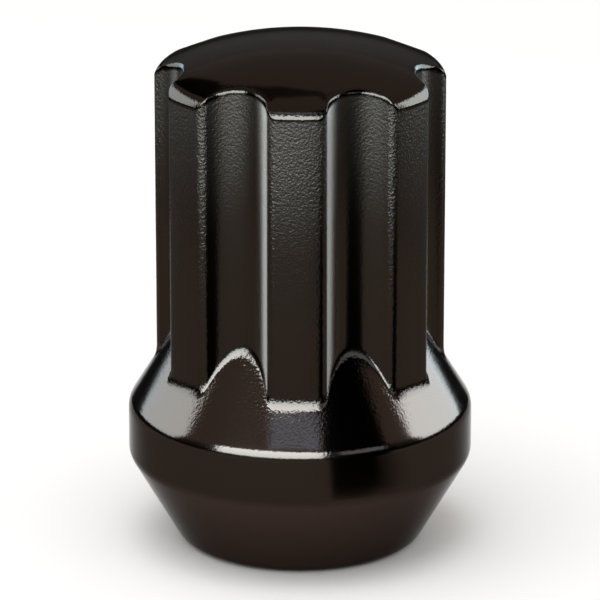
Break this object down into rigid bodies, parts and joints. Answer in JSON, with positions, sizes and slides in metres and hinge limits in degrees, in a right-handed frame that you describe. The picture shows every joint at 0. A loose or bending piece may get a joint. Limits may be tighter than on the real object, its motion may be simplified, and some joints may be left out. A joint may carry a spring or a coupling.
{
  "type": "spline lug nut",
  "caption": "Closed-end spline-drive wheel nut: fluted barrel with a low domed end, bulged collar, cone seat and a blind threaded stud hole.",
  "frame": {"origin": "centre of the open foot face, which the nut stands on", "axes": "+Z along the nut's axis, from the open foot to the domed end; the middle of one spline crest faces -Y"},
  "size_m": [0.0262, 0.0262, 0.0392],
  "materials": {
    "black_plating": "gloss"
  },
  "bodies": {
    "root": {"lug_nut": "black_plating"}
  },
  "joints": []
}
